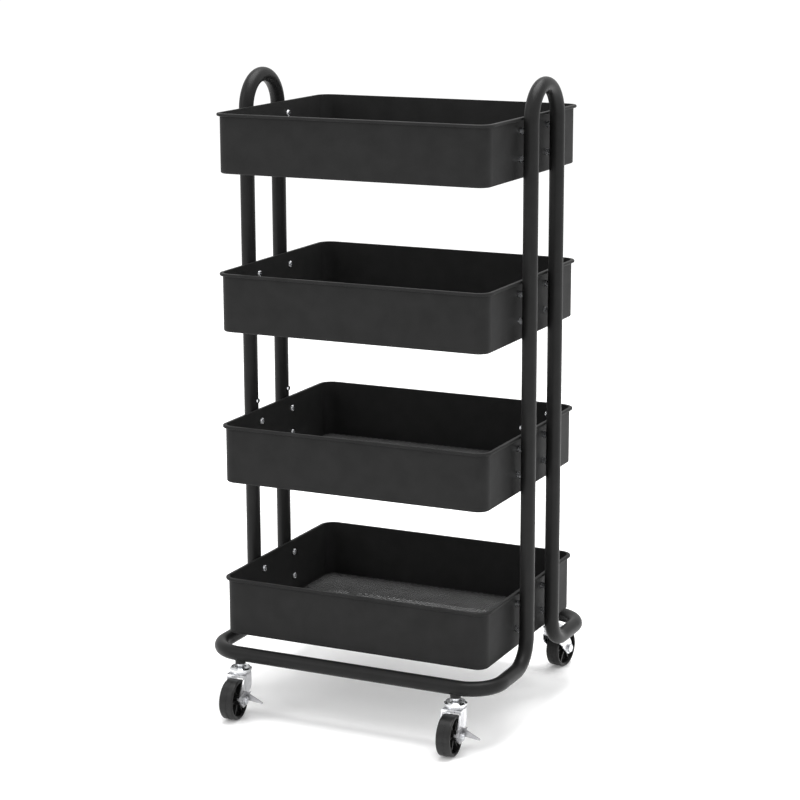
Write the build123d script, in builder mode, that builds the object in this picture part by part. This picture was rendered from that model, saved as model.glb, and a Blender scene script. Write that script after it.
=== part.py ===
"""A four-tier rolling cart: pressed trays with mesh floors between two bent-tube handle frames, on swivel casters."""

import os
from math import cos, radians, sin

from build123d import *

os.makedirs("parts", exist_ok=True)

# ---- Driving dimensions, in millimetres. The floor is z = 0, +X runs along the trays, -Y is the front. ----

# Trays, from the top one down, with the height of each rim. The gaps between them differ by a few millimetres.
RIM_HEIGHTS = {"top": 867.0, "upper": 642.6, "lower": 422.6, "bottom": 196.2}
TIERS = tuple(RIM_HEIGHTS)
TRAY_LENGTH = 410.0
TRAY_WIDTH = 328.0
TRAY_HEIGHT = 84.0
TRAY_CORNER = 17.0
TRAY_SHEET = 1.0
TRAY_FOOT_RADIUS = 2.6
RIM_OUT = 4.4
RIM_HEIGHT = 4.2
RIM_ROUND = 1.6
FLOOR_LEDGE = 13.0
MESH_THICKNESS = 0.8
MESH_GAP = 2.6

# Tubes of the two handle frames and the two base frames.
TUBE_OUTER = 10.6
TUBE_WALL = 1.2
POST_X = 220.7
POST_Y = 47.5
HANDLE_TOP_Z = 919.0
JOINT_Z = 451.0
SWAGE_LENGTH = 30.0
SWAGE_CLEARANCE = 0.1
BASE_TUBE_Z = 90.3
BASE_RUN_Y = 183.0
PLAN_BEND = 46.0
POST_BEND = 42.0

# Fasteners.
UPPER_SCREW_DROP = 18.5
LOWER_SCREW_DROP = 56.5
SCREW_SHANK = 2.45
SCREW_HEAD = 4.9
SCREW_HEAD_HEIGHT = 2.7
SCREW_LENGTH = 12.0
NUT_BORE = 2.5
NUT_BARREL = 3.5
NUT_FLANGE = 4.8
NUT_FLANGE_THICKNESS = 1.1
NUT_DEPTH = 9.0
SPACER_RADIUS = 4.6
JOINT_SCREW_DROP = 17.0
JOINT_SCREW_SHANK = 1.95
JOINT_SCREW_HEAD = 3.4
JOINT_SCREW_HEAD_HEIGHT = 1.9
JOINT_SCREW_LENGTH = 5.5

# Casters.
CASTER_X = 170.5
FRONT_TOE_DEGREES = 4.0
REAR_TOE_DEGREES = -7.0
TRAIL = 25.0
WHEEL_RADIUS = 29.5
TYRE_WIDTH = 21.0
TYRE_INNER = 26.0
TREAD_ROUND = 2.6
MOULD_RIDGE = 0.3
HUB_WIDTH = 24.4
HUB_BOSS = 7.5
AXLE_RADIUS = 3.95
RUNNING_CLEARANCE = 0.05
FORK_TOP_Z = 64.0
FORK_SHEET = 2.0
FORK_INNER_HALF = 12.6
FORK_ROUND = 15.6
FORK_FRONT = 19.0
KINGPIN_RADIUS = 4.0
BALL_RADIUS = 2.0
BALL_CIRCLE = 11.3
BALL_COUNT = 12
RACE_HEIGHT = 1.9
CAP_RADIUS = 16.4
STEM_RADIUS = 3.95
STEM_TOP_Z = 90.0
SOCKET_FLANGE = 7.6
SOCKET_BARREL = 5.5
SOCKET_DROP = 3.4
LEVER_SHEET = 1.8
LEVER_GAP = 0.15
FOOT_REACH = 27.0

# ---- Places worked out from them. ----

TUBE_INNER = TUBE_OUTER - TUBE_WALL
HANDLE_ARC_Z = HANDLE_TOP_Z - TUBE_OUTER - POST_Y
TRAY_END_X = TRAY_LENGTH / 2
POST_FACE_X = POST_X - TUBE_OUTER
FORK_OUTER_HALF = FORK_INNER_HALF + FORK_SHEET
SOCKET_BOTTOM_Z = BASE_TUBE_Z - TUBE_OUTER - SOCKET_DROP
BALL_Z = FORK_TOP_Z + RACE_HEIGHT + BALL_RADIUS + RUNNING_CLEARANCE
CAP_UNDER_Z = BALL_Z + BALL_RADIUS + RUNNING_CLEARANCE

# name, side along X, side along Y, whether it has a brake
CASTERS = (
    ("front_left", -1, -1, True),
    ("front_right", 1, -1, True),
    ("rear_left", -1, 1, False),
    ("rear_right", 1, 1, False),
)


def save(builder, name):
    """Label a finished piece and write its STEP file."""
    builder.part.label = name
    export_step(builder.part, f"parts/{name}.step")


def tray_screw_heights(tier):
    """Heights of a tray's two rows of screws."""
    return (RIM_HEIGHTS[tier] - UPPER_SCREW_DROP, RIM_HEIGHTS[tier] - LOWER_SCREW_DROP)


def end_plane(side, x, y, z):
    """Plane facing the tray from a post on one side: its normal points outward along X."""
    return Plane(origin=(side * x, y, z), x_dir=(0, 1, 0), z_dir=(side, 0, 0))


def screw_places(tiers):
    """Every tray screw of the given tiers: side, y and z."""
    return [
        (side, y, z)
        for tier in tiers
        for side in (-1, 1)
        for y in (-POST_Y, POST_Y)
        for z in tray_screw_heights(tier)
    ]


# ---- Frame tubes ----


def cut_post_holes(places, radius, reach):
    """Drill the post walls that face the trays."""
    for side, y, z in places:
        with BuildSketch(end_plane(side, POST_FACE_X - 2, y, z)) as hole:
            Circle(radius)
        extrude(hole.sketch, amount=reach, mode=Mode.SUBTRACT)


def handle_frame(side):
    """Inverted U with its two legs swaged at the bottom to enter the base frames."""
    x = side * POST_X
    with BuildPart() as frame:
        with BuildLine() as path:
            Line((x, -POST_Y, JOINT_Z), (x, -POST_Y, HANDLE_ARC_Z))
            ThreePointArc(
                (x, -POST_Y, HANDLE_ARC_Z),
                (x, 0, HANDLE_ARC_Z + POST_Y),
                (x, POST_Y, HANDLE_ARC_Z),
            )
            Line((x, POST_Y, HANDLE_ARC_Z), (x, POST_Y, JOINT_Z))
        with BuildSketch(Plane(origin=path.line @ 0, z_dir=path.line % 0)):
            Circle(TUBE_OUTER)
            Circle(TUBE_INNER, mode=Mode.SUBTRACT)
        sweep(path=path.line)
        swage_outer = TUBE_INNER - SWAGE_CLEARANCE
        swage_inner = swage_outer - TUBE_WALL
        neck = 4.0
        for y in (-POST_Y, POST_Y):
            with BuildSketch(Plane((x, y, JOINT_Z))):
                Circle(TUBE_OUTER)
                Circle(swage_inner, mode=Mode.SUBTRACT)
            extrude(amount=neck)
            with BuildSketch(Plane((x, y, JOINT_Z - SWAGE_LENGTH))):
                Circle(swage_outer)
                Circle(swage_inner, mode=Mode.SUBTRACT)
            extrude(amount=SWAGE_LENGTH + neck)
        own = [place for place in screw_places(TIERS[:2]) if place[0] == side]
        cut_post_holes(own, NUT_BARREL + RUNNING_CLEARANCE, NUT_DEPTH)
        joint = [(side, y, JOINT_Z - JOINT_SCREW_DROP) for y in (-POST_Y, POST_Y)]
        cut_post_holes(joint, JOINT_SCREW_SHANK + RUNNING_CLEARANCE, NUT_DEPTH)
    return frame


def base_frame(front):
    """One bent tube: a post at each end, two vertical bends, two plan bends and the long run between them."""
    y_run = front * BASE_RUN_Y
    y_post = front * POST_Y
    corners = [
        (-POST_X, y_post, JOINT_Z),
        (-POST_X, y_post, BASE_TUBE_Z),
        (-POST_X, y_run, BASE_TUBE_Z),
        (POST_X, y_run, BASE_TUBE_Z),
        (POST_X, y_post, BASE_TUBE_Z),
        (POST_X, y_post, JOINT_Z),
    ]
    with BuildPart() as frame:
        with BuildLine() as path:
            FilletPolyline(*corners, radius=[POST_BEND, PLAN_BEND, PLAN_BEND, POST_BEND])
        with BuildSketch(Plane(origin=path.line @ 0, z_dir=path.line % 0)):
            Circle(TUBE_OUTER)
            Circle(TUBE_INNER, mode=Mode.SUBTRACT)
        sweep(path=path.line)
        own = [place for place in screw_places(TIERS[2:]) if place[1] == y_post]
        cut_post_holes(own, NUT_BARREL + RUNNING_CLEARANCE, NUT_DEPTH)
        joint = [(side, y_post, JOINT_Z - JOINT_SCREW_DROP) for side in (-1, 1)]
        cut_post_holes(joint, JOINT_SCREW_SHANK + RUNNING_CLEARANCE, NUT_DEPTH)
        for side in (-1, 1):
            with BuildSketch(Plane((side * CASTER_X, y_run, SOCKET_BOTTOM_Z))):
                Circle(SOCKET_BARREL + RUNNING_CLEARANCE)
            extrude(amount=TUBE_OUTER + SOCKET_DROP, mode=Mode.SUBTRACT)
    return frame


def caster_sockets():
    """Four threaded inserts welded through the underside of the base tubes, each with a saddle-shaped flange."""
    with BuildPart() as sockets:
        for _, side, front, _ in CASTERS:
            x = side * CASTER_X
            y = front * BASE_RUN_Y
            with BuildSketch(Plane((x, y, SOCKET_BOTTOM_Z))):
                Circle(SOCKET_FLANGE)
            extrude(amount=TUBE_OUTER)
        for front in (-1, 1):
            with BuildSketch(
                Plane(origin=(-TRAY_LENGTH, front * BASE_RUN_Y, BASE_TUBE_Z), z_dir=(1, 0, 0))
            ):
                Circle(TUBE_OUTER)
            extrude(amount=2 * TRAY_LENGTH, mode=Mode.SUBTRACT)
        # The flange meets the start of the plan bend too, so its outer side is kept off the bent tube.
        for _, side, front, _ in CASTERS:
            bend_start = POST_X - PLAN_BEND
            centre = (side * bend_start, front * (BASE_RUN_Y - PLAN_BEND), BASE_TUBE_Z)
            ring = Plane(origin=centre, x_dir=(0, front, 0), z_dir=(side, 0, 0))
            with BuildSketch(ring):
                with Locations((PLAN_BEND, 0)):
                    Circle(TUBE_OUTER)
            revolve(
                axis=Axis(centre, (0, 0, -side * front)),
                revolution_arc=60,
                mode=Mode.SUBTRACT,
            )
        for _, side, front, _ in CASTERS:
            with BuildSketch(Plane((side * CASTER_X, front * BASE_RUN_Y, SOCKET_BOTTOM_Z))):
                Circle(SOCKET_BARREL)
            extrude(amount=STEM_TOP_Z - SOCKET_BOTTOM_Z)
        for _, side, front, _ in CASTERS:
            with BuildSketch(Plane((side * CASTER_X, front * BASE_RUN_Y, SOCKET_BOTTOM_Z))):
                Circle(STEM_RADIUS + RUNNING_CLEARANCE)
            extrude(amount=STEM_TOP_Z - SOCKET_BOTTOM_Z, mode=Mode.SUBTRACT)
    return sockets


def joint_screws():
    """One small self-drilling screw locks each swaged leg, on the side that faces the trays."""
    with BuildPart() as screws:
        for side in (-1, 1):
            for y in (-POST_Y, POST_Y):
                place = end_plane(side, POST_FACE_X, y, JOINT_Z - JOINT_SCREW_DROP)
                with BuildSketch(place.offset(-JOINT_SCREW_HEAD_HEIGHT)):
                    Circle(JOINT_SCREW_HEAD)
                extrude(amount=JOINT_SCREW_HEAD_HEIGHT)
                with BuildSketch(place):
                    Circle(JOINT_SCREW_SHANK)
                extrude(amount=JOINT_SCREW_LENGTH)
    return screws


# ---- Trays ----


def tray_outline(inset):
    """Rounded rectangle of the tray's wall, inset from its outer face; a negative inset goes outward."""
    RectangleRounded(
        TRAY_LENGTH - 2 * inset,
        TRAY_WIDTH - 2 * inset,
        TRAY_CORNER - inset,
    )


def tray_shell(tier):
    """Drawn sheet wall with a rolled rim, a rounded foot and an inward ledge that carries the mesh."""
    top = RIM_HEIGHTS[tier]
    bottom = top - TRAY_HEIGHT
    with BuildPart() as shell:
        with BuildSketch(Plane.XY.offset(bottom)):
            tray_outline(0)
        extrude(amount=TRAY_HEIGHT)
        fillet(shell.edges().group_by(Axis.Z)[0], TRAY_FOOT_RADIUS)
        with BuildSketch(Plane.XY.offset(top - RIM_HEIGHT)):
            tray_outline(-RIM_OUT)
        rim = extrude(amount=RIM_HEIGHT, mode=Mode.PRIVATE)
        rim_levels = rim.edges().group_by(Axis.Z)
        add(rim.fillet(RIM_ROUND, rim_levels[0] + rim_levels[-1]))
        with BuildSketch(Plane.XY.offset(bottom + TRAY_SHEET)):
            tray_outline(TRAY_SHEET)
        cavity = extrude(amount=TRAY_HEIGHT, mode=Mode.PRIVATE)
        cavity = cavity.fillet(
            TRAY_FOOT_RADIUS - TRAY_SHEET,
            cavity.edges().group_by(Axis.Z)[0],
        )
        add(cavity, mode=Mode.SUBTRACT)
        with BuildSketch(Plane.XY.offset(bottom)):
            tray_outline(FLOOR_LEDGE)
        extrude(amount=TRAY_SHEET, mode=Mode.SUBTRACT)
        for side, y, z in screw_places([tier]):
            with BuildSketch(end_plane(side, TRAY_END_X - 2 * TRAY_SHEET, y, z)):
                Circle(SCREW_SHANK + RUNNING_CLEARANCE)
            extrude(amount=4 * TRAY_SHEET, mode=Mode.SUBTRACT)
    return shell


def mesh_floor(tier):
    """Expanded-metal floor, held here as a plain sheet on the shell's ledge."""
    z = RIM_HEIGHTS[tier] - TRAY_HEIGHT + TRAY_SHEET
    with BuildPart() as floor:
        with BuildSketch(Plane.XY.offset(z)):
            tray_outline(TRAY_SHEET + MESH_GAP)
        extrude(amount=MESH_THICKNESS)
    return floor


def tray_screws(tier):
    """Domed cross-recess screws, with their heads inside the tray's end walls."""
    with BuildPart() as screws:
        for side, y, z in screw_places([tier]):
            wall = end_plane(side, TRAY_END_X - TRAY_SHEET, y, z)
            with BuildSketch(wall.offset(-SCREW_HEAD_HEIGHT)):
                Circle(SCREW_HEAD)
            head = extrude(amount=SCREW_HEAD_HEIGHT, mode=Mode.PRIVATE)
            crown = head.edges().sort_by(Axis.X)[0 if side > 0 else -1]
            add(head.fillet(SCREW_HEAD_HEIGHT * 0.8, [crown]))
            with BuildSketch(wall):
                Circle(SCREW_SHANK)
            extrude(amount=SCREW_LENGTH)
            recess_depth = 1.3
            with BuildSketch(wall.offset(-SCREW_HEAD_HEIGHT)):
                Rectangle(4.4, 1.0)
                Rectangle(1.0, 4.4)
            extrude(amount=recess_depth, mode=Mode.SUBTRACT)
    return screws


def tray_spacers(tier):
    """Round spacers that hold the end walls off the posts."""
    with BuildPart() as spacers:
        for side, y, z in screw_places([tier]):
            with BuildSketch(end_plane(side, TRAY_END_X, y, z)):
                Circle(SPACER_RADIUS)
                Circle(SCREW_SHANK + RUNNING_CLEARANCE, mode=Mode.SUBTRACT)
            extrude(amount=POST_FACE_X - NUT_FLANGE_THICKNESS - TRAY_END_X)
    return spacers


def rivet_nuts():
    """Threaded inserts set in the posts, each with a flange shaped to the tube."""
    flange_x = POST_FACE_X - NUT_FLANGE_THICKNESS
    with BuildPart() as nuts:
        for side, y, z in screw_places(TIERS):
            with BuildSketch(end_plane(side, flange_x, y, z)):
                Circle(NUT_FLANGE)
            extrude(amount=2 * NUT_FLANGE_THICKNESS)
        for side in (-1, 1):
            for y in (-POST_Y, POST_Y):
                with BuildSketch(Plane((side * POST_X, y, 0))):
                    Circle(TUBE_OUTER)
                extrude(amount=HANDLE_TOP_Z, mode=Mode.SUBTRACT)
        for side, y, z in screw_places(TIERS):
            with BuildSketch(end_plane(side, flange_x, y, z)):
                Circle(NUT_BARREL)
            extrude(amount=NUT_DEPTH)
            with BuildSketch(end_plane(side, flange_x, y, z)):
                Circle(NUT_BORE)
            extrude(amount=NUT_DEPTH, mode=Mode.SUBTRACT)
    return nuts


# ---- Casters: local x is the axle's direction, local y the way the wheel trails, local z is up ----


def caster_place(side, front):
    """Plane of a caster on the floor below its swivel axis, turned by the trail direction."""
    toe = radians(FRONT_TOE_DEGREES if front < 0 else REAR_TOE_DEGREES)
    trail_dir = Vector(-front * sin(toe), front * cos(toe), 0)
    return Plane(
        origin=(side * CASTER_X, front * BASE_RUN_Y, 0),
        x_dir=trail_dir.cross(Vector(0, 0, 1)),
        z_dir=(0, 0, 1),
    )


def side_plane(place, x):
    """Plane across the axle at local x, with the trail direction and up as its axes."""
    return Plane(
        origin=place.from_local_coords((x, TRAIL, WHEEL_RADIUS)),
        x_dir=place.y_dir,
        z_dir=place.x_dir,
    )


def axle_plane(place):
    """Plane through the axle, with the axle's direction and up as its axes."""
    return Plane(
        origin=place.from_local_coords((0, TRAIL, WHEEL_RADIUS)),
        x_dir=place.x_dir,
        z_dir=-place.y_dir,
    )


def swivel_plane(place):
    """Vertical plane through the swivel axis, with the trail direction and up as its axes."""
    return Plane(origin=place.origin, x_dir=place.y_dir, z_dir=place.x_dir)


def caster_stem(place):
    """Threaded stem, collar and riveted kingpin in one turned piece."""
    head_radius = 7.0
    head_z = FORK_TOP_Z - FORK_SHEET - 2.0
    collar_radius = 5.6
    collar_z = CAP_UNDER_Z - 0.5
    with BuildPart() as stem:
        with BuildSketch(swivel_plane(place)):
            with BuildLine():
                Polyline(
                    (0, head_z),
                    (head_radius, head_z),
                    (head_radius, head_z + 1.8),
                    (KINGPIN_RADIUS, head_z + 1.8),
                    (KINGPIN_RADIUS, collar_z),
                    (collar_radius, collar_z),
                    (collar_radius, SOCKET_BOTTOM_Z),
                    (STEM_RADIUS, SOCKET_BOTTOM_Z),
                    (STEM_RADIUS, STEM_TOP_Z - 1),
                    (STEM_RADIUS - 1, STEM_TOP_Z),
                    (0, STEM_TOP_Z),
                    close=True,
                )
            make_face()
        revolve(axis=Axis(place.origin, (0, 0, 1)))
    return stem


def bearing_cap(place):
    """Dished pressing over the balls: a sunk centre, a raised ring and a turned-down skirt."""
    sheet = 1.4
    sunk_z = CAP_UNDER_Z - 0.5 - sheet
    skirt_z = FORK_TOP_Z + RACE_HEIGHT + 0.8
    with BuildPart() as cap:
        with BuildSketch(swivel_plane(place)):
            with BuildLine():
                Polyline(
                    (KINGPIN_RADIUS + RUNNING_CLEARANCE, sunk_z),
                    (BALL_CIRCLE - BALL_RADIUS - 1.4, sunk_z),
                    (BALL_CIRCLE - BALL_RADIUS - 0.3, CAP_UNDER_Z),
                    (BALL_CIRCLE + BALL_RADIUS, CAP_UNDER_Z),
                    (CAP_RADIUS - sheet, CAP_UNDER_Z - 1.4),
                    (CAP_RADIUS - sheet, skirt_z),
                    (CAP_RADIUS, skirt_z),
                    (CAP_RADIUS, CAP_UNDER_Z - 0.6),
                    (BALL_CIRCLE + BALL_RADIUS + 0.5, CAP_UNDER_Z + sheet),
                    (BALL_CIRCLE - BALL_RADIUS - 0.8, CAP_UNDER_Z + sheet),
                    (BALL_CIRCLE - BALL_RADIUS - 2.2, sunk_z + sheet),
                    (KINGPIN_RADIUS + RUNNING_CLEARANCE, sunk_z + sheet),
                    close=True,
                )
            make_face()
        revolve(axis=Axis(place.origin, (0, 0, 1)))
    return cap


def ball_ring(place):
    """Loose balls of the swivel bearing."""
    with BuildPart() as balls:
        with Locations(place.offset(BALL_Z)):
            with PolarLocations(BALL_CIRCLE, BALL_COUNT):
                Sphere(BALL_RADIUS)
    return balls


def fork(place):
    """Pressed yoke: two legs under a top plate that is round at the back, with a raised ball race on it."""
    axle_end = 8.6
    shoulder_z = 51.0
    with BuildPart() as yoke:
        with BuildSketch(place):
            Circle(FORK_ROUND)
            with Locations((0, TRAIL / 2 + axle_end / 2)):
                Rectangle(2 * FORK_OUTER_HALF, TRAIL + axle_end)
        extrude(amount=FORK_TOP_Z)
        fillet(yoke.edges().group_by(Axis.Z)[-1], 1.8)
        with BuildSketch(place):
            Circle(FORK_ROUND - FORK_SHEET)
            with Locations((0, (FORK_FRONT - FORK_SHEET) / 2)):
                Rectangle(2 * FORK_INNER_HALF, FORK_FRONT - FORK_SHEET)
        extrude(amount=FORK_TOP_Z - FORK_SHEET, mode=Mode.SUBTRACT)
        with BuildSketch(side_plane(place, -FORK_INNER_HALF)):
            Circle(WHEEL_RADIUS + 1.8)
        extrude(amount=2 * FORK_INNER_HALF, mode=Mode.SUBTRACT)
        # Side outline, measured from the axle: everything outside it is cut away.
        back = -TRAIL - FORK_ROUND - 1
        top = FORK_TOP_Z - WHEEL_RADIUS + 1
        front = FORK_FRONT - TRAIL
        with BuildSketch(side_plane(place, -2 * FORK_ROUND)):
            with BuildLine():
                Polyline(
                    (back, top),
                    (back, shoulder_z - WHEEL_RADIUS),
                    (back + 8, shoulder_z - WHEEL_RADIUS - 3),
                    (-6.5, -5.6),
                )
                ThreePointArc((-6.5, -5.6), (2.2, -axle_end + 0.3), (8.5, 1.2))
                Polyline((8.5, 1.2), (7.0, 9.0), (front, top - 7), (front, top), (back, top))
            make_face()
        extrude(amount=4 * FORK_ROUND, mode=Mode.INTERSECT)
        with BuildSketch(side_plane(place, -2 * FORK_ROUND)):
            Circle(AXLE_RADIUS + RUNNING_CLEARANCE)
        extrude(amount=4 * FORK_ROUND, mode=Mode.SUBTRACT)
        with BuildSketch(place):
            with Locations((0, -FORK_ROUND + 4)):
                Rectangle(2 * FORK_INNER_HALF - 3, 2 * FORK_ROUND - 8)
        extrude(amount=FORK_TOP_Z - 3 * FORK_SHEET, mode=Mode.SUBTRACT)
        with BuildSketch(place.offset(FORK_TOP_Z - 0.5)):
            Circle(BALL_CIRCLE + BALL_RADIUS + 0.9)
        race = extrude(amount=RACE_HEIGHT + 0.5, mode=Mode.PRIVATE)
        add(race.fillet(0.9, [race.edges().sort_by(Axis.Z)[-1]]))
        with BuildSketch(place.offset(FORK_TOP_Z - 2 * FORK_SHEET)):
            Circle(KINGPIN_RADIUS + 2 * RUNNING_CLEARANCE)
        extrude(amount=3 * FORK_SHEET, mode=Mode.SUBTRACT)
    return yoke


def wheel_hub(place):
    """Moulded wheel centre: bore boss, thin web, rim and ribs on both faces."""
    rim_half = TYRE_WIDTH / 2 - 1.2
    web_half = 1.6
    rim_inner = TYRE_INNER - 1.6
    rib_count = 6
    with BuildPart() as hub:
        for half, outer, inner in (
            (rim_half, TYRE_INNER, rim_inner),
            (web_half, TYRE_INNER - 1, AXLE_RADIUS),
            (HUB_WIDTH / 2, HUB_BOSS, AXLE_RADIUS),
        ):
            with BuildSketch(side_plane(place, -half)):
                Circle(outer)
                Circle(inner, mode=Mode.SUBTRACT)
            extrude(amount=2 * half)
        rib_half = rim_half - 2.2
        with BuildSketch(side_plane(place, -rib_half)):
            with PolarLocations((HUB_BOSS + rim_inner) / 2, rib_count):
                Rectangle(rim_inner - HUB_BOSS + 2, 1.7)
        extrude(amount=2 * rib_half)
        with BuildSketch(side_plane(place, -HUB_WIDTH)):
            Circle(AXLE_RADIUS + RUNNING_CLEARANCE)
        extrude(amount=2 * HUB_WIDTH, mode=Mode.SUBTRACT)
    return hub


def tyre(place):
    """Rounded tread band with a fine moulding ridge around its middle."""
    crown = WHEEL_RADIUS - MOULD_RIDGE
    with BuildPart() as band:
        with BuildSketch(axle_plane(place)):
            with Locations((0, (crown + TYRE_INNER) / 2)):
                tread = Rectangle(TYRE_WIDTH, crown - TYRE_INNER)
            fillet(tread.vertices().group_by(Axis.Y)[-1], TREAD_ROUND)
            with Locations((0, WHEEL_RADIUS - 1)):
                Rectangle(1.1, 2)
        revolve(axis=Axis(place.from_local_coords((0, TRAIL, WHEEL_RADIUS)), place.x_dir))
    return band


def stack_half(braked):
    """Local x of the outermost face that the axle nut bears on, on the brake side."""
    return FORK_OUTER_HALF + (LEVER_SHEET + 2 * LEVER_GAP if braked else 0)


def axle_bolt(place, braked):
    """Hexagon-headed axle bolt; its threaded end comes out on the brake side."""
    head = 3.4
    nut_end = stack_half(braked) + 5.4
    with BuildPart() as bolt:
        with BuildSketch(side_plane(place, -nut_end)):
            Circle(AXLE_RADIUS)
        extrude(amount=nut_end + FORK_OUTER_HALF)
        with BuildSketch(side_plane(place, FORK_OUTER_HALF)):
            RegularPolygon(6.6, 6)
        extrude(amount=head)
    return bolt


def axle_nut(place, braked):
    """Hexagon nut on the axle bolt's threaded end."""
    thickness = 4.2
    with BuildPart() as nut:
        with BuildSketch(side_plane(place, -stack_half(braked) - thickness)):
            RegularPolygon(6.4, 6)
            Circle(AXLE_RADIUS + RUNNING_CLEARANCE, mode=Mode.SUBTRACT)
        extrude(amount=thickness)
    return nut


def brake_lever(place):
    """Stamped side brake: a plate on the axle, a bent pad arm and a tapered foot blade bent outward."""
    inner = -FORK_OUTER_HALF - LEVER_GAP
    outer = inner - LEVER_SHEET
    blade_back = -9.0
    with BuildPart() as lever:
        with BuildSketch(side_plane(place, outer)):
            with BuildLine():
                Polyline(
                    (blade_back, -1.5),
                    (blade_back, 11),
                    (-3, 13.5),
                    (3.5, 11),
                    (13.6, 7.6),
                    (15.2, 3.2),
                    (7.2, -0.5),
                    (6.6, -6.5),
                    (2.5, -10.5),
                    (-3.5, -10.0),
                    close=True,
                )
            plate = make_face()
            fillet(plate.vertices(), 1.2)
            Circle(AXLE_RADIUS + RUNNING_CLEARANCE, mode=Mode.SUBTRACT)
        extrude(amount=LEVER_SHEET)
        pad_reach = 3.2
        with BuildSketch(side_plane(place, outer)):
            with Locations((13.2, 5.2)):
                Rectangle(LEVER_SHEET, 3.6)
        extrude(amount=LEVER_SHEET + pad_reach)
        blade_origin = place.from_local_coords((inner, TRAIL + blade_back, WHEEL_RADIUS))
        with BuildSketch(Plane(origin=blade_origin, x_dir=-place.x_dir, z_dir=place.y_dir)):
            with BuildLine():
                Polyline(
                    (0, -1.0),
                    (0, 10.4),
                    (4.5, 10.2),
                    (9.5, 12.6),
                    (7.2, 7.6),
                    (FOOT_REACH, -2.6),
                    (FOOT_REACH + 0.8, -4.2),
                    (FOOT_REACH - 0.6, -5.0),
                    close=True,
                )
            make_face()
        extrude(amount=LEVER_SHEET)
    return lever


# ---- Build and write every piece ----

for side, side_name in ((-1, "left"), (1, "right")):
    save(handle_frame(side), f"handle_frame_{side_name}")

for front, front_name in ((-1, "front"), (1, "rear")):
    save(base_frame(front), f"base_frame_{front_name}")

save(caster_sockets(), "caster_sockets")
save(joint_screws(), "joint_screws")
save(rivet_nuts(), "rivet_nuts")

for tier in TIERS:
    save(tray_shell(tier), f"tray_shell_{tier}")
    save(mesh_floor(tier), f"mesh_floor_{tier}")
    save(tray_screws(tier), f"tray_screws_{tier}")
    save(tray_spacers(tier), f"tray_spacers_{tier}")

for corner, side, front, braked in CASTERS:
    place = caster_place(side, front)
    save(caster_stem(place), f"caster_stem_{corner}")
    save(bearing_cap(place), f"bearing_cap_{corner}")
    save(ball_ring(place), f"ball_ring_{corner}")
    save(fork(place), f"fork_{corner}")
    save(wheel_hub(place), f"wheel_hub_{corner}")
    save(tyre(place), f"tyre_{corner}")
    save(axle_bolt(place, braked), f"axle_bolt_{corner}")
    save(axle_nut(place, braked), f"axle_nut_{corner}")
    if braked:
        save(brake_lever(place), f"brake_lever_{corner}")
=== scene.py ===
import math

import bmesh
import bpy
from mathutils import Matrix, Vector


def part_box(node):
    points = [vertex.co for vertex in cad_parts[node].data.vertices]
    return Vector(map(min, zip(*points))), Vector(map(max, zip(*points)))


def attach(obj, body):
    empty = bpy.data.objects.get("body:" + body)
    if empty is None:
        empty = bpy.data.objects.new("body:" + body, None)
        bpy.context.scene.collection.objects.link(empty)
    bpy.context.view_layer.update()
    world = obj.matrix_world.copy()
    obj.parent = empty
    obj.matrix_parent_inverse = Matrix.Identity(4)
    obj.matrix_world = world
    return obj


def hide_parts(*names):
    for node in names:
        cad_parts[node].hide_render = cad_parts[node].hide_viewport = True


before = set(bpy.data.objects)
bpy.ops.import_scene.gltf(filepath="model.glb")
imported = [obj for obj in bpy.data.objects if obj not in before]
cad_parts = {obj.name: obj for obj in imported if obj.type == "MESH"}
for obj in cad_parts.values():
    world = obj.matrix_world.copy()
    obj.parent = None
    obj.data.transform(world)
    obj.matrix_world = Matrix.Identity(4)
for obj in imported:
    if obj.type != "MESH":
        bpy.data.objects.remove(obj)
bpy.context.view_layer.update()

MM = 0.001
TIERS = ("top", "upper", "lower", "bottom")
CORNERS = ("front_left", "front_right", "rear_left", "rear_right")


# ---- Node helpers ----


def new_material(name):
    """A material with a Principled shader; returns the material, its nodes, its links and the shader."""
    material = bpy.data.materials.new(name)
    material.use_nodes = True
    tree = material.node_tree
    tree.nodes.clear()
    shader = tree.nodes.new("ShaderNodeBsdfPrincipled")
    output = tree.nodes.new("ShaderNodeOutputMaterial")
    tree.links.new(shader.outputs["BSDF"], output.inputs["Surface"])
    return material, tree.nodes, tree.links, shader


def noise(nodes, links, scale, detail=2.0, stretch=(1, 1, 1)):
    """Noise in the object's own metres, stretched along its axes."""
    coords = nodes.new("ShaderNodeTexCoord")
    mapping = nodes.new("ShaderNodeMapping")
    mapping.inputs["Scale"].default_value = stretch
    texture = nodes.new("ShaderNodeTexNoise")
    texture.inputs["Scale"].default_value = scale
    texture.inputs["Detail"].default_value = detail
    links.new(coords.outputs["Object"], mapping.inputs["Vector"])
    links.new(mapping.outputs["Vector"], texture.inputs["Vector"])
    return texture.outputs["Fac"]


def ramp(nodes, links, source, stops):
    """Colour ramp over (position, grey or colour) stops."""
    node = nodes.new("ShaderNodeValToRGB")
    elements = node.color_ramp.elements
    while len(elements) < len(stops):
        elements.new(0.5)
    for element, (position, value) in zip(elements, stops):
        element.position = position
        rgb = value if isinstance(value, tuple) else (value, value, value)
        element.color = (*rgb, 1.0)
    links.new(source, node.inputs["Fac"])
    return node.outputs["Color"]


def bump(nodes, links, shader, sources):
    """Chain of bumps from (height, strength, distance in metres)."""
    previous = None
    for height, strength, distance in sources:
        node = nodes.new("ShaderNodeBump")
        node.inputs["Strength"].default_value = strength
        node.inputs["Distance"].default_value = distance
        links.new(height, node.inputs["Height"])
        if previous is not None:
            links.new(previous, node.inputs["Normal"])
        previous = node.outputs["Normal"]
    links.new(previous, shader.inputs["Normal"])


# ---- Materials ----


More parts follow.
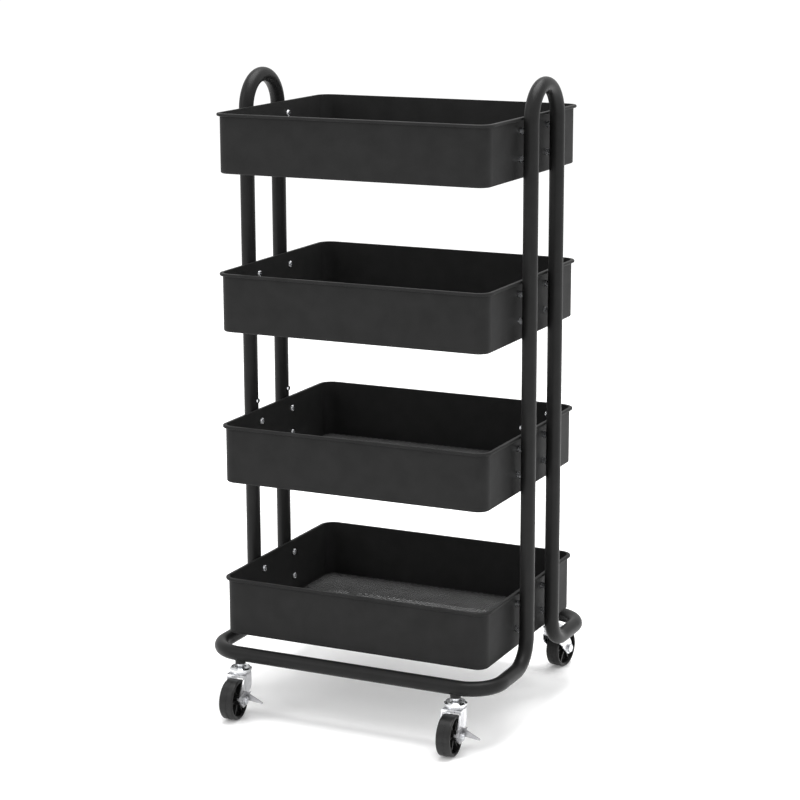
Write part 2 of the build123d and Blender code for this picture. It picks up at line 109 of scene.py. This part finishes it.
def powder_coat(name, dark, light, rough_low=0.40, rough_high=0.50, gloss=0.18):
    """Satin black powder coat: faint mottling and the fine orange peel of a sprayed finish."""
    material, nodes, links, shader = new_material(name)
    shader.inputs["Specular IOR Level"].default_value = gloss
    mottle = noise(nodes, links, 38.0, 4.0)
    links.new(ramp(nodes, links, mottle, ((0.30, dark), (0.72, light))), shader.inputs["Base Color"])
    patch = noise(nodes, links, 16.0, 3.0)
    links.new(
        ramp(nodes, links, patch, ((0.30, rough_low), (0.70, rough_high))),
        shader.inputs["Roughness"],
    )
    peel = noise(nodes, links, 620.0, 2.0)
    grain = noise(nodes, links, 2600.0, 1.0)
    bump(nodes, links, shader, ((peel, 0.10, 0.00012), (grain, 0.05, 0.00003)))
    return material


def plated(name, low, high, rough_low, rough_high, brush=0.0):
    """Bright plated steel with cloudy passivation, fine scratches and, where drawn, a brushed grain."""
    material, nodes, links, shader = new_material(name)
    shader.inputs["Metallic"].default_value = 1.0
    cloud = noise(nodes, links, 120.0, 4.0)
    links.new(ramp(nodes, links, cloud, ((0.28, low), (0.74, high))), shader.inputs["Base Color"])
    smear = noise(nodes, links, 260.0, 3.0, (1, 1, 0.25))
    links.new(
        ramp(nodes, links, smear, ((0.30, rough_low), (0.72, rough_high))),
        shader.inputs["Roughness"],
    )
    scratches = noise(nodes, links, 900.0, 2.0, (0.08, 1, 1))
    bump(nodes, links, shader, ((cloud, 0.10, 0.0002), (scratches, 0.08 + brush, 0.00004)))
    return material


def moulded(name, dark, light, rough_low, rough_high, coat=0.0):
    """Black moulded polymer with faint flow marks and a fine moulding grain."""
    material, nodes, links, shader = new_material(name)
    shader.inputs["Specular IOR Level"].default_value = 0.3
    shader.inputs["Coat Weight"].default_value = coat
    shader.inputs["Coat Roughness"].default_value = 0.25
    flow = noise(nodes, links, 70.0, 3.0, (1, 1, 2.2))
    links.new(ramp(nodes, links, flow, ((0.30, dark), (0.70, light))), shader.inputs["Base Color"])
    wear = noise(nodes, links, 210.0, 4.0)
    links.new(
        ramp(nodes, links, wear, ((0.32, rough_low), (0.70, rough_high))),
        shader.inputs["Roughness"],
    )
    grain = noise(nodes, links, 1500.0, 2.0)
    bump(nodes, links, shader, ((flow, 0.05, 0.0003), (grain, 0.10, 0.00005)))
    return material


def dress(material, *names):
    """Give CAD nodes a material in place of their plain one."""
    for name in names:
        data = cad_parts[name].data
        data.materials.clear()
        data.materials.append(material)


def for_corners(stem):
    """A caster node's name at each corner where the frame has it."""
    return [f"{stem}_{corner}" for corner in CORNERS if f"{stem}_{corner}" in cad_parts]


def dress_frame():
    """Finish every CAD node that is shown."""
    tube_coat = powder_coat("tube_powder_coat", 0.0088, 0.0120, 0.34, 0.44, gloss=0.15)
    tray_coat = powder_coat("tray_powder_coat", 0.0175, 0.0215, gloss=0.05)
    socket_coat = powder_coat("socket_coat", 0.010, 0.016)
    zinc = plated("bright_zinc", (0.62, 0.63, 0.65), (0.82, 0.83, 0.85), 0.20, 0.34)
    fork_zinc = plated("fork_zinc", (0.66, 0.67, 0.69), (0.84, 0.84, 0.86), 0.22, 0.36, 0.05)
    chrome = plated("cap_chrome", (0.60, 0.61, 0.63), (0.80, 0.81, 0.82), 0.10, 0.22)
    ball_steel = plated("ball_steel", (0.62, 0.62, 0.64), (0.72, 0.72, 0.74), 0.06, 0.12)
    lever_steel = plated("lever_steel", (0.34, 0.34, 0.35), (0.48, 0.48, 0.49), 0.34, 0.48, 0.08)
    tread = moulded("tread_polymer", 0.006, 0.011, 0.34, 0.46)
    hub = moulded("hub_polymer", 0.008, 0.014, 0.26, 0.38, 0.2)
    dress(tube_coat, "handle_frame_left", "handle_frame_right", "base_frame_front", "base_frame_rear")
    dress(tray_coat, *[f"tray_shell_{tier}" for tier in TIERS])
    dress(socket_coat, "caster_sockets")
    dress(zinc, "joint_screws", "rivet_nuts")
    dress(zinc, *[f"tray_screws_{tier}" for tier in TIERS])
    dress(zinc, *[f"tray_spacers_{tier}" for tier in TIERS])
    dress(zinc, *for_corners("caster_stem"))
    dress(zinc, *for_corners("axle_bolt"))
    dress(zinc, *for_corners("axle_nut"))
    dress(chrome, *for_corners("bearing_cap"))
    dress(ball_steel, *for_corners("ball_ring"))
    dress(fork_zinc, *for_corners("fork"))
    dress(lever_steel, *for_corners("brake_lever"))
    dress(tread, *for_corners("tyre"))
    dress(hub, *for_corners("wheel_hub"))


# ---- Mesh floors ----

DIAMOND_LONG = 9.4 * MM
DIAMOND_SHORT = 5.2 * MM
STRAND_WIDTH = 1.45 * MM
STRAND_THICKNESS = 0.75 * MM
STRAND_TILT = math.radians(24)
SHEET_CORNER = 13.0 * MM
SHEET_INSET = 0.2 * MM
SHEET_LIFT = 0.1 * MM
FAMILY_OFFSET = 0.12 * MM
CHORD_STEPS = 400
SHORTEST_CHORD = 6


def inside_rounded(x, y, half_x, half_y, corner):
    """Whether a point is inside a rounded rectangle centred on the origin."""
    dx = max(abs(x) - (half_x - corner), 0.0)
    dy = max(abs(y) - (half_y - corner), 0.0)
    return math.hypot(dx, dy) < corner and abs(x) < half_x and abs(y) < half_y


def chord(offset, slope, half_x, half_y):
    """Ends of the diagonal y = slope x + offset inside the sheet, or None where it only clips a corner."""
    hits = [
        x
        for x in (half_x * (2 * i / CHORD_STEPS - 1) for i in range(CHORD_STEPS + 1))
        if inside_rounded(x, slope * x + offset, half_x, half_y, SHEET_CORNER)
    ]
    if len(hits) < SHORTEST_CHORD:
        return None
    return hits[0], hits[-1]


def add_strand(mesh, start, end, tilt):
    """One flat strand: a bar with a chamfered top, tilted about its own length."""
    along = (end - start).normalized()
    side = Vector((0, 0, 1)).cross(along)
    turn = Matrix.Rotation(tilt, 3, along)
    side = turn @ side
    up = turn @ Vector((0, 0, 1))
    w = STRAND_WIDTH / 2
    h = STRAND_THICKNESS / 2
    profile = ((-w, -h), (w, -h), (w, h * 0.3), (w * 0.6, h), (-w * 0.6, h), (-w, h * 0.3))
    rings = []
    for point in (start, end):
        rings.append([mesh.verts.new(point + side * a + up * b) for a, b in profile])
    count = len(profile)
    for i in range(count):
        j = (i + 1) % count
        mesh.faces.new((rings[0][i], rings[0][j], rings[1][j], rings[1][i]))
    mesh.faces.new(rings[0][::-1])
    mesh.faces.new(rings[1])


def mesh_sheet(tier, material):
    """Expanded-metal sheet: two families of tilted strands that cross at the diamonds' corners."""
    low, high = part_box(f"mesh_floor_{tier}")
    half_x = high.x - SHEET_INSET
    half_y = high.y - SHEET_INSET
    middle = (low.z + high.z) / 2 + SHEET_LIFT
    slope = DIAMOND_SHORT / DIAMOND_LONG
    reach = half_y + slope * half_x
    mesh = bmesh.new()
    for sign in (-1, 1):
        count = int(reach / DIAMOND_SHORT)
        z = middle + sign * FAMILY_OFFSET
        for k in range(-count, count + 1):
            ends = chord(k * DIAMOND_SHORT, sign * slope, half_x, half_y)
            if ends is None:
                continue
            points = [Vector((x, sign * slope * x + k * DIAMOND_SHORT, z)) for x in ends]
            add_strand(mesh, points[0], points[1], sign * STRAND_TILT)
    bmesh.ops.recalc_face_normals(mesh, faces=mesh.faces)
    data = bpy.data.meshes.new(f"mesh_sheet_{tier}")
    mesh.to_mesh(data)
    mesh.free()
    piece = bpy.data.objects.new(f"mesh_sheet_{tier}", data)
    bpy.context.scene.collection.objects.link(piece)
    data.materials.append(material)
    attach(piece, "frame")
    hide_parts(f"mesh_floor_{tier}")


def build_mesh_floors():
    """All four mesh floors."""
    # Painted light: the mesh's base colour is several times lighter than the tray coat of the same black
    # finish, standing in for the light from above that falls on the mesh.
    coat = powder_coat("mesh_coat_painted_lighter", 0.046, 0.066, 0.36, 0.46, gloss=0.25)
    for tier in TIERS:
        mesh_sheet(tier, coat)


# ---- Stage, light and camera ----

FLOOR_HALF = 30.0
AIM = (0, 0, 0.5)
CAMERA_PLACE = (1.3834, -2.9091, 1.1716)
CAMERA_AZIMUTH = math.radians(25.44)
CAMERA_ELEVATION = math.radians(12.71)
CAMERA_ROLL = math.radians(-0.19)
CAMERA_LENS = 102.3
SENSOR_WIDTH = 36.0

# name, place, size and power of each light
LIGHTS = (
    ("key", (-2.6, -3.0, 2.6), (1.6, 2.4), 30),
    ("side", (3.6, -0.4, 1.6), (1.2, 2.6), 4),
    ("top", (0.2, 0.3, 3.6), (2.6, 2.6), 140),
)


def stage_plane():
    """Plain pale floor under the wheels, with a faint glow that keeps the shadow light."""
    data = bpy.data.meshes.new("floor")
    corners = [(x * FLOOR_HALF, y * FLOOR_HALF, 0) for x, y in ((-1, -1), (1, -1), (1, 1), (-1, 1))]
    data.from_pydata(corners, [], [(0, 1, 2, 3)])
    floor = bpy.data.objects.new("floor", data)
    bpy.context.scene.collection.objects.link(floor)
    material, nodes, links, shader = new_material("floor_paper")
    tone = noise(nodes, links, 3.0, 2.0)
    links.new(ramp(nodes, links, tone, ((0.2, 0.93), (0.8, 0.95))), shader.inputs["Base Color"])
    shader.inputs["Roughness"].default_value = 0.9
    shader.inputs["Specular IOR Level"].default_value = 0.0
    shader.inputs["Emission Color"].default_value = (1.0, 1.0, 1.0, 1.0)
    shader.inputs["Emission Strength"].default_value = 0.12
    data.materials.append(material)


def area_light(name, place, size, power):
    """Large soft light aimed at the cart's middle."""
    light = bpy.data.lights.new(name, "AREA")
    light.shape = "RECTANGLE"
    light.size, light.size_y = size
    light.energy = power
    lamp = bpy.data.objects.new(name, light)
    lamp.location = place
    aim = Vector(AIM) - Vector(place)
    lamp.rotation_euler = aim.to_track_quat("-Z", "Y").to_euler()
    bpy.context.scene.collection.objects.link(lamp)


def light_stage():
    """White surroundings with a broad key, a side fill and a top light."""
    world = bpy.data.worlds.new("studio")
    world.use_nodes = True
    background = world.node_tree.nodes["Background"]
    background.inputs["Color"].default_value = (1, 1, 1, 1)
    background.inputs["Strength"].default_value = 1.0
    bpy.context.scene.world = world
    bpy.context.scene.view_settings.view_transform = "Standard"
    for name, place, size, power in LIGHTS:
        area_light(name, place, size, power)


def set_camera():
    """Camera fitted to the view the cart is shown from."""
    forward = Vector(
        (
            -math.sin(CAMERA_AZIMUTH) * math.cos(CAMERA_ELEVATION),
            math.cos(CAMERA_AZIMUTH) * math.cos(CAMERA_ELEVATION),
            -math.sin(CAMERA_ELEVATION),
        )
    )
    level = Vector((math.cos(CAMERA_AZIMUTH), math.sin(CAMERA_AZIMUTH), 0))
    upright = level.cross(forward)
    right = level * math.cos(CAMERA_ROLL) + upright * math.sin(CAMERA_ROLL)
    up = upright * math.cos(CAMERA_ROLL) - level * math.sin(CAMERA_ROLL)
    data = bpy.data.cameras.new("camera")
    data.sensor_width = SENSOR_WIDTH
    data.lens = CAMERA_LENS
    data.clip_end = 200.0
    camera = bpy.data.objects.new("camera", data)
    axes = Matrix((right, up, -forward)).transposed().to_4x4()
    camera.matrix_world = Matrix.Translation(CAMERA_PLACE) @ axes
    bpy.context.scene.collection.objects.link(camera)
    bpy.context.scene.camera = camera


set_camera()
light_stage()
stage_plane()
dress_frame()
build_mesh_floors()

bpy.context.view_layer.update()
